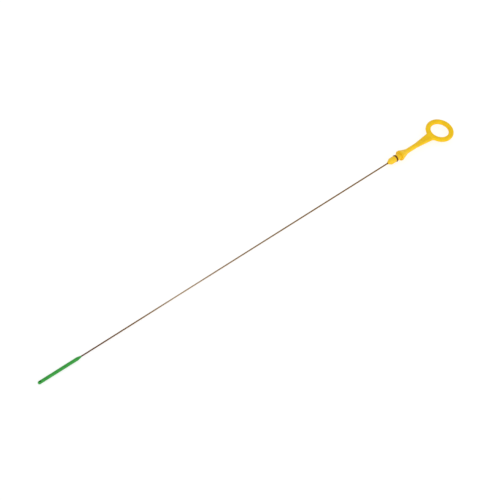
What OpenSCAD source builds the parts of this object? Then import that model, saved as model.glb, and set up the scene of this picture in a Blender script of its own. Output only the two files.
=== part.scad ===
// Engine oil dipstick: a moulded finger loop, collar and sealing plug on a steel wire
// that ends in a moulded gauge tip.
// The stick lies along X. The origin is at the centre of the collar's flat seat,
// +X runs towards the finger loop, and the loop lies flat in the XY plane.

/* [Stick] */
// Reach from the collar's seat to the far end of the gauge tip
reach = 663; // [300:1:900]
// Diameter of the steel wire
wire_d = 1.8; // [1.2:0.1:2]
// Diameter of the upset head on each end of the wire
head_d = 2.8; // [2.4:0.1:3]
// Thickness of each upset head
head_t = 1.2; // [0.8:0.1:2]
// How far the wire reaches into the handle, past the collar's seat
wire_anchor = 9; // [4:0.5:16]
// Gap that the mouldings leave round the wire
wire_gap = 0.02; // [0.01:0.01:0.05]

/* [Gauge tip] */
// Length of the gauge tip, with its tapered shoulder
tip_len = 77; // [40:1:100]
// Diameter of the gauge tip
tip_d = 4.5; // [4:0.1:6]
// Length of the taper from the full diameter down to the wire
tip_taper = 6.5; // [3:0.5:10]
// Wall of plastic round the wire at the thin end of the taper
tip_lip = 0.3; // [0.2:0.05:0.5]
// Plastic between the wire's lower head and the round end
tip_cover = 5; // [4:0.5:10]
// Diameter of the cross hole left by the mould's core pin
pin_hole_d = 1.5; // [0.6:0.1:1.8]
// Distance of the cross hole from the round end
pin_hole_x = 2.5; // [2.3:0.05:3.4]

/* [Plug] */
// Diameter of the plug's lands, which guide it in the tube
plug_d = 8.5; // [7.8:0.05:9.1]
// Length of the land between the collar's seat and the seal groove
rear_land = 6.6; // [2:0.1:10]
// Length of the land in front of the seal groove
front_land = 7.9; // [3:0.1:12]
// Length of the nose cone
nose_len = 5.1; // [3:0.1:8]
// Wall of plastic round the wire at the nose's end
nose_lip = 0.5; // [0.4:0.1:1]
// Size of the bevel between the nose cone and the front land
nose_bevel = 0.9; // [0.5:0.1:1.2]
// Bevel on the edges of the plug and the collar
edge_bevel = 0.3; // [0.1:0.05:0.4]

/* [Seal ring] */
// Outer diameter of the fitted seal ring
seal_d = 9.4; // [9.2:0.05:10]
// Diameter of the seal ring's round section
seal_section = 1.8; // [1.6:0.05:2]
// Gap between the seal ring and the groove's floor
seal_gap = 0.05; // [0.02:0.01:0.1]
// Gap between the seal ring and each side of the groove
seal_side_gap = 0.3; // [0.1:0.05:0.3]

/* [Collar] */
// Diameter of the collar
collar_d = 13.3; // [11:0.1:16]
// Thickness of the collar's rim
rim_len = 2.4; // [1.5:0.1:5]
// Length of the cone from the rim down to the stem
cone_len = 10.6; // [6:0.1:16]
// Radius of the blend between the cone and the stem
cone_blend = 15; // [4:0.5:18]

/* [Stem] */
// Diameter of the round stem
stem_d = 6.3; // [5.6:0.1:7]
// Length of the round stem, from the end of the cone to where it widens
stem_len = 17.1; // [8:0.1:20]
// Angle by which each edge of the stem widens towards the loop
flare_angle = 5.9; // [4:0.1:8]
// Diameter of the two rounded arms that the stem splits into
arm_d = 4.8; // [4.4:0.1:4.8]
// Thickness of the web between the arms
web_t = 4.1; // [3.4:0.1:4.2]
// Length over which the round stem dies away between the arms
ridge_len = 16; // [6:1:18]
// Radius of the inside corner between each arm and the loop
arm_fillet = 6; // [4:0.5:9]

/* [Finger loop] */
// Outer diameter of the loop
loop_d = 36.5; // [32:0.5:42]
// Distance from the collar's seat to the loop's centre
loop_x = 74.9; // [70:0.1:90]
// Width of the loop's band
band_w = 6.6; // [5.5:0.1:8]
// Thickness of the loop's band
band_t = 4.9; // [4.9:0.1:6]
// Radius on the band's edges
band_round = 2.2; // [1:0.1:2.3]

/* [Hidden] */
$fn = 96;
// How far a fused surface stays below the one that it dies into
bite = 0.1;
// Step in radius, and overlap in degrees, where an arm's bend follows its straight part
seam = 0.02;
lead = 1;

// Stations along X, from the collar's seat towards the gauge tip
seal_groove_w = seal_section + 2 * seal_side_gap;
groove_rear_x = -rear_land;
groove_front_x = groove_rear_x - seal_groove_w;
seal_x = (groove_rear_x + groove_front_x) / 2;
land_front_x = groove_front_x - front_land;
nose_x = land_front_x - nose_len;
tip_end_x = -reach;
tip_shoulder_x = tip_end_x + tip_len - tip_taper;
tip_top_x = tip_end_x + tip_len;
wire_low_x = tip_end_x + tip_cover;

// Stations along X, from the collar's seat towards the finger loop
cone_end_x = rim_len + cone_len;
flare_x = cone_end_x + stem_len;
ridge_end_x = flare_x + ridge_len;

// Radii of the turned shapes
plug_r = plug_d / 2;
collar_r = collar_d / 2;
stem_r = stem_d / 2;
arm_r = arm_d / 2;
nose_r = wire_d / 2 + nose_lip;
groove_r = seal_d / 2 - seal_section - seal_gap;

// The cone meets the stem in an arc that is tangent to both
cone_angle = atan((collar_r - stem_r) / cone_len);
blend_run = cone_blend * tan(cone_angle / 2);
blend_steps = 6;

// Each arm starts inside the stem, runs straight at the flare angle, then bends outwards
// about a centre beside it until it lies inside the loop's band
arm_y = stem_r - arm_r;
bend_r = arm_fillet + arm_r;
end_r = loop_d / 2 - arm_r - bite;
centre_along = (loop_x - flare_x) * cos(flare_angle) - arm_y * sin(flare_angle);
centre_aside = -(loop_x - flare_x) * sin(flare_angle) - arm_y * cos(flare_angle);
straight = centre_along - sqrt(pow(end_r + bend_r, 2) - pow(bend_r - centre_aside, 2));
foot_x = flare_x + straight * cos(flare_angle);
foot_y = arm_y + straight * sin(flare_angle);
bend_x = foot_x - bend_r * sin(flare_angle);
bend_y = foot_y + bend_r * cos(flare_angle);
bend_end = atan2(bend_y, loop_x - bend_x);
band_x = loop_x - end_r * cos(bend_end);
band_y = end_r * sin(bend_end);

// Turns a profile drawn as [radius, place along X] about the stick's axis
module turned() {
    rotate([0, 90, 0]) rotate_extrude() children();
}

// Round bar along X between two stations
module bar(r, x0, x1) {
    translate([x0, 0, 0]) rotate([0, 90, 0]) cylinder(r = r, h = x1 - x0);
}

// Space or solid of the wire, from its lower head to its upper head
module wire_shape(gap) {
    bar(wire_d / 2 + gap, wire_low_x, wire_anchor);
    bar(head_d / 2 + gap, wire_low_x - gap, wire_low_x + head_t + gap);
    bar(head_d / 2 + gap, wire_anchor - head_t - gap, wire_anchor + gap);
}

// Profile of the plug, the collar, the stem and the ridge that dies away between the arms
module handle_profile() {
    blend = [for (i = [0:blend_steps]) let (t = cone_angle * (1 - i / blend_steps))
        [stem_r + cone_blend * (1 - cos(t)), cone_end_x + blend_run - cone_blend * sin(t)]];
    polygon(concat([
        [0, nose_x],
        [nose_r, nose_x],
        [plug_r - nose_bevel / 2, land_front_x - nose_bevel / 2],
        [plug_r, land_front_x + nose_bevel / 2],
        [plug_r, groove_front_x - edge_bevel],
        [plug_r - edge_bevel, groove_front_x],
        [groove_r, groove_front_x],
        [groove_r, groove_rear_x],
        [plug_r - edge_bevel, groove_rear_x],
        [plug_r, groove_rear_x + edge_bevel],
        [plug_r, 0],
        [collar_r - edge_bevel, 0],
        [collar_r, edge_bevel],
        [collar_r, rim_len - edge_bevel / 2],
        [collar_r - edge_bevel, rim_len + edge_bevel]
    ], blend, [
        [stem_r, flare_x],
        [web_t / 2 - bite, ridge_end_x],
        [0, ridge_end_x]
    ]));
}

// Section of the loop's band: a flat bar with rounded edges
module band_section() {
    side_flat = band_w / 2 - band_round;
    face_flat = band_t / 2 - band_round;
    square([2 * side_flat, band_t], center = true);
    square([band_w, 2 * face_flat], center = true);
    for (side = [-1, 1], face = [-1, 1])
        translate([side * side_flat, face * face_flat]) circle(r = band_round);
}

module finger_loop() {
    translate([loop_x, 0, 0]) rotate_extrude() translate([(loop_d - band_w) / 2, 0]) band_section();
}

// One of the two arms: a straight round bar, and a slightly thinner bend that dies into the loop
module arm() {
    translate([flare_x, arm_y, 0]) rotate([0, 0, flare_angle]) bar(arm_r, 0, straight);
    translate([bend_x, bend_y, 0])
        rotate_extrude(start = flare_angle - 90 - lead, angle = 90 - flare_angle - bend_end + lead)
            translate([bend_r, 0]) circle(r = arm_r - seam);
}

// Plate between the arms, thinner than they are, so that a shallow hollow runs down the middle
module web() {
    linear_extrude(height = web_t, center = true) difference() {
        polygon([
            [flare_x, arm_y], [foot_x, foot_y], [bend_x, bend_y], [band_x, band_y],
            [band_x, -band_y], [bend_x, -bend_y], [foot_x, -foot_y], [flare_x, -arm_y]
        ]);
        for (side = [-1, 1]) translate([bend_x, side * bend_y]) circle(r = bend_r);
    }
}

module handle() {
    color("gold") difference() {
        union() {
            turned() handle_profile();
            arm();
            mirror([0, 1, 0]) arm();
            web();
            finger_loop();
        }
        wire_shape(wire_gap);
    }
}

module seal_ring() {
    color("saddlebrown") turned()
        translate([seal_d / 2 - seal_section / 2, seal_x]) circle(r = seal_section / 2);
}

module wire() {
    color("rosybrown") wire_shape(0);
}

module gauge_tip() {
    tip_r = tip_d / 2;
    color("limegreen") difference() {
        union() {
            translate([tip_end_x + tip_r, 0, 0]) sphere(r = tip_r);
            bar(tip_r, tip_end_x + tip_r, tip_shoulder_x);
            turned() polygon([
                [0, tip_shoulder_x], [tip_r, tip_shoulder_x],
                [wire_d / 2 + tip_lip, tip_top_x], [0, tip_top_x]
            ]);
        }
        wire_shape(wire_gap);
        translate([tip_end_x + pin_hole_x, 0, 0]) cylinder(d = pin_hole_d, h = 2 * tip_d, center = true);
    }
}

handle();
seal_ring();
wire();
gauge_tip();
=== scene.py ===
# Engine oil dipstick, as it lies on a white table: a yellow moulded finger loop and plug on a thin
# steel wire, with a green gauge tip at the wire's far end. Lengths are in metres, in the part's frame.
import math

import bmesh
import bpy
from mathutils import Matrix, Vector


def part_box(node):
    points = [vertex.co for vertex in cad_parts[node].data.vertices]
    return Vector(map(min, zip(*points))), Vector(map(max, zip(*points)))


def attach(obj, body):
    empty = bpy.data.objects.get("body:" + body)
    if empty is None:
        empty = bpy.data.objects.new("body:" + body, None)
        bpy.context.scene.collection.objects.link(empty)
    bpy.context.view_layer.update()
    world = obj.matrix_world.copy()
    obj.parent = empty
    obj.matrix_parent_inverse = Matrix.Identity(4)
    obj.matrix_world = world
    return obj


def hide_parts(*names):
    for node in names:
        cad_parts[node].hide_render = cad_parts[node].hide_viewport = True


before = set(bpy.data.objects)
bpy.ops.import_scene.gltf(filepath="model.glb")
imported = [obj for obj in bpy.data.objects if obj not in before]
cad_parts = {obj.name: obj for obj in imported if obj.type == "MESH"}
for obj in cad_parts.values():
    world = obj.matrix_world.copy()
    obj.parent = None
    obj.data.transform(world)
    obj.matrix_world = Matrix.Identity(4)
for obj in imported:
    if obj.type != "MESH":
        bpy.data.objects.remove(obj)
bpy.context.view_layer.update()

scene = bpy.context.scene


# The photograph's view, through a very long lens. The gauge tip lies at the picture's lower left and
# the finger loop at its upper right, on a line that climbs at 32 degrees, and the flat of the loop is
# seen from 46 degrees above it.
mm = 0.001
photo_px = 500
px_per_mm = 0.8
view_turn = math.radians(-59.5)
view_height = math.radians(46.2)
stick_slope = math.radians(32.2)
aim_along = -276.8 * mm
aim_across = 0.06 * mm
lens_mm = 1500
film_mm = 36
far_clip = 100

back = Vector((
    math.sin(view_turn) * math.cos(view_height),
    -math.cos(view_turn) * math.cos(view_height),
    math.sin(view_height),
))
stick_way = Vector((1, 0, 0))
along = (stick_way - back * stick_way.dot(back)).normalized()
across = back.cross(along)
right = along * math.cos(stick_slope) - across * math.sin(stick_slope)
up = along * math.sin(stick_slope) + across * math.cos(stick_slope)
view = Matrix((right, up, back)).transposed().to_4x4()
view.translation = stick_way * aim_along + across * aim_across
view.translation += back * (photo_px / px_per_mm * mm * lens_mm / film_mm)
camera_data = bpy.data.cameras.new("camera")
camera_data.lens = lens_mm
camera_data.sensor_width = film_mm
camera_data.clip_end = far_clip
camera = bpy.data.objects.new("camera", camera_data)
scene.collection.objects.link(camera)
camera.matrix_world = view
scene.camera = camera
scene.view_settings.view_transform = "Standard"


# The table: a white, faintly glowing sheet under the stick, which rests on the rim of its collar and on
# the far end of its gauge tip. The glow lights the lower sides of round surfaces. The camera sees the
# sheet white, with the stick's faint shadow on it.
table_size = 6
collar_edge_x = 0.3 * mm
glow_on_stick = 0.34
glow_seen = 0.72
matt_on_stick = 0.75
matt_seen = 0.36

tip_low, tip_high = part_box("gauge_tip")
handle_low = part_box("handle")[0]
tip_rest_x = tip_low.x + (tip_high.z - tip_low.z) / 2
table_slope = math.atan2(tip_low.z - handle_low.z, collar_edge_x - tip_rest_x)
table_mesh = bmesh.new()
bmesh.ops.create_grid(table_mesh, x_segments=1, y_segments=1, size=table_size / 2)
bmesh.ops.rotate(table_mesh, verts=table_mesh.verts, matrix=Matrix.Rotation(table_slope, 3, "Y"))
bmesh.ops.translate(table_mesh, verts=table_mesh.verts, vec=(collar_edge_x, 0, handle_low.z))
table_data = bpy.data.meshes.new("table")
table_mesh.to_mesh(table_data)
table_mesh.free()
table = bpy.data.objects.new("table", table_data)
scene.collection.objects.link(table)


def new_finish(name):
    """Starts a finish, and returns it with its nodes and links."""
    finish = bpy.data.materials.new(name)
    finish.use_nodes = True
    return finish, finish.node_tree.nodes, finish.node_tree.links


def add_node(nodes, kind, settings=None, operation=None):
    """Adds a node, with its operation and the values of its sockets by name or number."""
    node = nodes.new("ShaderNode" + kind)
    if operation:
        node.operation = operation
    for socket, value in (settings or {}).items():
        node.inputs[socket].default_value = value
    return node


white_sheet, nodes, links = new_finish("white_sheet")
nodes.clear()
sheet_path = add_node(nodes, "LightPath")
sheet_glowing = add_node(nodes, "MapRange", {"To Min": glow_on_stick, "To Max": glow_seen})
sheet_matting = add_node(nodes, "MapRange", {"To Min": matt_on_stick, "To Max": matt_seen})
sheet_glow = add_node(nodes, "Emission", {"Color": (1, 1, 1, 1)})
sheet_matt = add_node(nodes, "BsdfDiffuse")
sheet_sum = add_node(nodes, "AddShader")
sheet_output = add_node(nodes, "OutputMaterial")
links.new(sheet_path.outputs["Is Camera Ray"], sheet_glowing.inputs["Value"])
links.new(sheet_path.outputs["Is Camera Ray"], sheet_matting.inputs["Value"])
links.new(sheet_glowing.outputs[0], sheet_glow.inputs["Strength"])
links.new(sheet_matting.outputs[0], sheet_matt.inputs["Color"])
links.new(sheet_glow.outputs[0], sheet_sum.inputs[0])
links.new(sheet_matt.outputs[0], sheet_sum.inputs[1])
links.new(sheet_sum.outputs[0], sheet_output.inputs["Surface"])
table_data.materials.append(white_sheet)


# The light: a white room, a little dimmer towards the upper left of the view, and a weak soft lamp low
# on its lower right. Glossy surfaces mirror the room's walls bright and its ceiling dim, and the camera
# sees it plain white.
room_bright = 1.03
room_dim = 0.76
dim_way = Vector((0, 0.97, 0.25))
mirror_walls = 1.1
mirror_ceiling = 0.15
lamp_light = 0.35
lamp_spread = math.radians(40)
lamp_way = Vector((-0.35, -0.85, 0.4))

room = bpy.data.worlds.new("room")
scene.world = room
room.use_nodes = True
nodes = room.node_tree.nodes
links = room.node_tree.links
nodes.clear()
room_path = add_node(nodes, "LightPath")
room_place = add_node(nodes, "TexCoord")
room_side = add_node(nodes, "VectorMath", {1: dim_way}, operation="DOT_PRODUCT")
room_height = add_node(nodes, "SeparateXYZ")
room_fall = add_node(nodes, "MapRange", {"From Min": -1, "To Min": room_bright, "To Max": room_dim})
mirror_fall = add_node(nodes, "MapRange", {"To Min": mirror_walls, "To Max": mirror_ceiling})
room_fill = add_node(nodes, "Background", {"Color": (1, 1, 1, 1)})
room_mirror = add_node(nodes, "Background", {"Color": (1, 1, 1, 1)})
room_white = add_node(nodes, "Background", {"Color": (1, 1, 1, 1), "Strength": 1})
room_lit = add_node(nodes, "MixShader")
room_seen = add_node(nodes, "Math", operation="MAXIMUM")
room_pick = add_node(nodes, "MixShader")
room_output = add_node(nodes, "OutputWorld")
links.new(room_place.outputs["Generated"], room_side.inputs[0])
links.new(room_place.outputs["Generated"], room_height.inputs[0])
links.new(room_side.outputs["Value"], room_fall.inputs["Value"])
links.new(room_height.outputs["Z"], mirror_fall.inputs["Value"])
links.new(room_fall.outputs[0], room_fill.inputs["Strength"])
links.new(mirror_fall.outputs[0], room_mirror.inputs["Strength"])
links.new(room_path.outputs["Is Glossy Ray"], room_lit.inputs["Fac"])
links.new(room_fill.outputs[0], room_lit.inputs[1])
links.new(room_mirror.outputs[0], room_lit.inputs[2])
links.new(room_path.outputs["Is Camera Ray"], room_seen.inputs[0])
links.new(room_path.outputs["Is Transmission Ray"], room_seen.inputs[1])
links.new(room_seen.outputs[0], room_pick.inputs["Fac"])
links.new(room_lit.outputs[0], room_pick.inputs[1])
links.new(room_white.outputs[0], room_pick.inputs[2])
links.new(room_pick.outputs[0], room_output.inputs["Surface"])

lamp_data = bpy.data.lights.new("lamp", "SUN")
lamp_data.energy = lamp_light
lamp_data.angle = lamp_spread
lamp = bpy.data.objects.new("lamp", lamp_data)
scene.collection.objects.link(lamp)
lamp.rotation_euler = lamp_way.to_track_quat("Z", "Y").to_euler()


# The wire: drawn steel, 1.8 mm thick, with a head upset on each end. Old oil has tinted it dark brown
# near the gauge tip and a lighter brown towards the plug, and it is brightest between them. The
# drawing die has left fine lines along it.
wire_tones = (
    (0.00, (0.152, 0.048, 0.002, 1)),
    (0.18, (0.280, 0.139, 0.035, 1)),
    (0.31, (0.565, 0.410, 0.260, 1)),
    (0.38, (0.525, 0.362, 0.220, 1)),
    (0.45, (0.430, 0.275, 0.150, 1)),
    (0.60, (0.362, 0.220, 0.095, 1)),
    (0.77, (0.315, 0.170, 0.048, 1)),
    (1.00, (0.315, 0.158, 0.030, 1)),
)
lines_per_metre = (12, 2500, 2500)


def add_grain(nodes, links, pattern, shader, roughness, strength, depth):
    """Lets a pattern vary a finish's shine and give it fine relief."""
    shine = add_node(nodes, "MapRange", {"To Min": roughness[0], "To Max": roughness[1]})
    relief = add_node(nodes, "Bump", {"Strength": strength, "Distance": depth})
    links.new(pattern, shine.inputs["Value"])
    links.new(shine.outputs[0], shader.inputs["Roughness"])
    links.new(pattern, relief.inputs["Height"])
    links.new(relief.outputs[0], shader.inputs["Normal"])


drawn_wire, nodes, links = new_finish("drawn_wire")
wire_shader = nodes["Principled BSDF"]
wire_shader.inputs["Metallic"].default_value = 0.85
wire_place = add_node(nodes, "TexCoord")
wire_split = add_node(nodes, "SeparateXYZ")
wire_along = add_node(nodes, "MapRange", {"From Min": tip_high.x, "From Max": handle_low.x})
wire_tone = add_node(nodes, "ValToRGB")
wire_stops = wire_tone.color_ramp.elements
wire_stops[0].position, wire_stops[0].color = wire_tones[0]
wire_stops[1].position, wire_stops[1].color = wire_tones[-1]
for place, tone in wire_tones[1:-1]:
    wire_stops.new(place).color = tone
wire_drawing = add_node(nodes, "Mapping", {"Scale": lines_per_metre})
wire_lines = add_node(nodes, "TexNoise", {"Scale": 1, "Detail": 3})
links.new(wire_place.outputs["Object"], wire_split.inputs[0])
links.new(wire_split.outputs["X"], wire_along.inputs["Value"])
links.new(wire_along.outputs[0], wire_tone.inputs[0])
links.new(wire_tone.outputs["Color"], wire_shader.inputs["Base Color"])
links.new(wire_place.outputs["Object"], wire_drawing.inputs["Vector"])
links.new(wire_drawing.outputs[0], wire_lines.inputs["Vector"])
add_grain(
    nodes, links, wire_lines.outputs["Fac"], wire_shader,
    roughness=(0.32, 0.5), strength=0.25, depth=0.02 * mm,
)
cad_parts["wire"].material_slots[0].material = drawn_wire


# The handle: one moulding in yellow nylon, with the nose, the plug with its seal groove, the collar,
# the stem and the finger loop. It is moulded round the wire's upper end. Its turned end keeps the
# drawn form, and the joints of stem, arms and loop are rounded off as the mould's are.
grip_start_x = 20 * mm
grip_overlap = 1 * mm
grip_cell = 0.22 * mm
grip_rounds = 30
grip_ease = 0.5
weld_reach = 0.0005 * mm
sharp_edge = math.radians(32)


def drawn_handle():
    """Copies the drawn handle, with its loose triangles joined."""
    shape = bmesh.new()
    shape.from_mesh(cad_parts["handle"].data)
    bmesh.ops.remove_doubles(shape, verts=shape.verts, dist=weld_reach)
    return shape


def cut_across(shape, x, **cleared):
    """Cuts a shape square to the stick, and clears one side of the cut."""
    bmesh.ops.bisect_plane(
        shape, geom=shape.verts[:] + shape.edges[:] + shape.faces[:], dist=0,
        plane_co=(x, 0, 0), plane_no=(1, 0, 0), **cleared,
    )


def open_edges(shape):
    return [edge for edge in shape.edges if edge.is_boundary]


# The grip is cut off a little early, closed and made anew in even cells, so that it can be smoothed.
grip = drawn_handle()
cut_across(grip, grip_start_x - grip_overlap, clear_inner=True)
bmesh.ops.holes_fill(grip, edges=open_edges(grip), sides=0)
grip_data = bpy.data.meshes.new("grip")
grip.to_mesh(grip_data)
grip.free()
grip_piece = bpy.data.objects.new("grip", grip_data)
scene.collection.objects.link(grip_piece)
grip_cells = grip_piece.modifiers.new("cells", "REMESH")
grip_cells.mode = "VOXEL"
grip_cells.voxel_size = grip_cell
grip_cast = grip_piece.evaluated_get(bpy.context.evaluated_depsgraph_get())
grip_even = bpy.data.meshes.new_from_object(grip_cast)
bpy.data.objects.remove(grip_piece)
grip = bmesh.new()
grip.from_mesh(grip_even)
grip_soft = [vert for vert in grip.verts if vert.co.x > grip_start_x]
for grip_round in range(grip_rounds):
    bmesh.ops.smooth_vert(
        grip, verts=grip_soft, factor=grip_ease, use_axis_x=True, use_axis_y=True, use_axis_z=True,
    )
cut_across(grip, grip_start_x, clear_inner=True)
grip.to_mesh(grip_even)
grip.free()

# The turned end keeps its drawn form, and the grip is joined to it at the cut.
moulding = drawn_handle()
cut_across(moulding, grip_start_x, clear_outer=True)
moulding.from_mesh(grip_even)
bmesh.ops.bridge_loops(moulding, edges=open_edges(moulding))
bmesh.ops.recalc_face_normals(moulding, faces=moulding.faces)
for face in moulding.faces:
    face.smooth = True
for edge in moulding.edges:
    edge.smooth = not (edge.is_manifold and edge.calc_face_angle() > sharp_edge)
handle_data = bpy.data.meshes.new("finger_grip")
moulding.to_mesh(handle_data)
moulding.free()
finger_grip = bpy.data.objects.new("finger_grip", handle_data)
scene.collection.objects.link(finger_grip)

# The yellow is cloudy, a little paler towards the plug, and has the mould's fine grain.
yellow_deep = (0.875, 0.537, 0.001, 1)
yellow_light = (0.965, 0.612, 0.004, 1)
yellow_pale = (0.93, 0.80, 0.60, 1)
pale_share = 0.035
pale_end_x = 60 * mm
cloud_edges = (0.36, 0.64)


def add_tone(nodes, links, pattern, edges, deep, light):
    """Spreads a pattern between a deep and a light tone, and returns the colour."""
    spread = add_node(nodes, "MapRange", {"From Min": edges[0], "From Max": edges[1]})
    tone = add_node(nodes, "MixRGB", {"Color1": deep, "Color2": light})
    links.new(pattern, spread.inputs["Value"])
    links.new(spread.outputs[0], tone.inputs["Fac"])
    return tone.outputs["Color"]


yellow_nylon, nodes, links = new_finish("yellow_nylon")
nylon_shader = nodes["Principled BSDF"]
nylon_shader.inputs["IOR"].default_value = 1.5
nylon_shader.inputs["Specular IOR Level"].default_value = 0.2
nylon_place = add_node(nodes, "TexCoord")
nylon_cloud = add_node(nodes, "TexNoise", {"Scale": 150, "Detail": 4})
nylon_grain = add_node(nodes, "TexNoise", {"Scale": 1400, "Detail": 2})
nylon_split = add_node(nodes, "SeparateXYZ")
nylon_along = add_node(nodes, "MapRange", {
    "From Min": handle_low.x, "From Max": pale_end_x, "To Min": pale_share, "To Max": 0,
})
nylon_pale = add_node(nodes, "MixRGB", {"Color2": yellow_pale})
links.new(nylon_place.outputs["Object"], nylon_cloud.inputs["Vector"])
links.new(nylon_place.outputs["Object"], nylon_grain.inputs["Vector"])
links.new(nylon_place.outputs["Object"], nylon_split.inputs[0])
links.new(nylon_split.outputs["X"], nylon_along.inputs["Value"])
links.new(nylon_along.outputs[0], nylon_pale.inputs["Fac"])
nylon_tone = add_tone(nodes, links, nylon_cloud.outputs["Fac"], cloud_edges, yellow_deep, yellow_light)
links.new(nylon_tone, nylon_pale.inputs["Color1"])
links.new(nylon_pale.outputs["Color"], nylon_shader.inputs["Base Color"])
add_grain(
    nodes, links, nylon_grain.outputs["Fac"], nylon_shader,
    roughness=(0.34, 0.46), strength=0.2, depth=0.05 * mm,
)
handle_data.materials.append(yellow_nylon)
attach(finger_grip, "root")
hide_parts("handle")


# The seal ring: an O-ring of dark brown rubber. It is stretched over the plug until it sits in the
# groove, and it fills the gap between the plug and the guide tube.
rubber_dark = (0.120, 0.030, 0.008, 1)
rubber_light = (0.165, 0.045, 0.013, 1)

seal_rubber, nodes, links = new_finish("seal_rubber")
rubber_shader = nodes["Principled BSDF"]
rubber_shader.inputs["Specular IOR Level"].default_value = 0.3
rubber_place = add_node(nodes, "TexCoord")
rubber_speck = add_node(nodes, "TexNoise", {"Scale": 1800, "Detail": 3})
links.new(rubber_place.outputs["Object"], rubber_speck.inputs["Vector"])
rubber_tone = add_tone(nodes, links, rubber_speck.outputs["Fac"], (0, 1), rubber_dark, rubber_light)
links.new(rubber_tone, rubber_shader.inputs["Base Color"])
add_grain(
    nodes, links, rubber_speck.outputs["Fac"], rubber_shader,
    roughness=(0.5, 0.7), strength=0.2, depth=0.03 * mm,
)
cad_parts["seal_ring"].material_slots[0].material = seal_rubber


# The gauge tip: green nylon, moulded over the wire's lower end, with a round end and the hole that
# the mould's core pin leaves across it. Painted shade darkens that hole and the plastic round it.
green_deep = (0.026, 0.30, 0.036, 1)
green_light = (0.044, 0.38, 0.054, 1)
# Painted shade: a dark tone fills the core-pin hole and fades out over the plastic round it.
hole_shade_dark = (0.012, 0.030, 0.006, 1)
hole_x = -660.5 * mm
hole_radius = 0.75 * mm
shade_full_reach = hole_radius * 1.02
shade_fade_reach = hole_radius * 1.6

green_nylon, nodes, links = new_finish("green_nylon")
green_shader = nodes["Principled BSDF"]
green_shader.inputs["Specular IOR Level"].default_value = 0.25
green_place = add_node(nodes, "TexCoord")
green_cloud = add_node(nodes, "TexNoise", {"Scale": 120, "Detail": 4})
green_grain = add_node(nodes, "TexNoise", {"Scale": 1500, "Detail": 2})
# The painted shade is strongest within the hole's radius and fades out by 1.6 times that radius.
from_hole = {1: (1, 1, 0), 2: (-hole_x, 0, 0)}
hole_offset = add_node(nodes, "VectorMath", from_hole, operation="MULTIPLY_ADD")
hole_distance = add_node(nodes, "VectorMath", operation="LENGTH")
hole_shade_fall = add_node(nodes, "MapRange", {"From Min": shade_full_reach, "From Max": shade_fade_reach})
green_hole_shaded = add_node(nodes, "MixRGB", {"Color1": hole_shade_dark})
links.new(green_place.outputs["Object"], green_cloud.inputs["Vector"])
links.new(green_place.outputs["Object"], green_grain.inputs["Vector"])
links.new(green_place.outputs["Object"], hole_offset.inputs[0])
links.new(hole_offset.outputs["Vector"], hole_distance.inputs[0])
links.new(hole_distance.outputs["Value"], hole_shade_fall.inputs["Value"])
links.new(hole_shade_fall.outputs[0], green_hole_shaded.inputs["Fac"])
green_tone = add_tone(nodes, links, green_cloud.outputs["Fac"], cloud_edges, green_deep, green_light)
links.new(green_tone, green_hole_shaded.inputs["Color2"])
links.new(green_hole_shaded.outputs["Color"], green_shader.inputs["Base Color"])
add_grain(
    nodes, links, green_grain.outputs["Fac"], green_shader,
    roughness=(0.4, 0.55), strength=0.2, depth=0.04 * mm,
)
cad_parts["gauge_tip"].material_slots[0].material = green_nylon
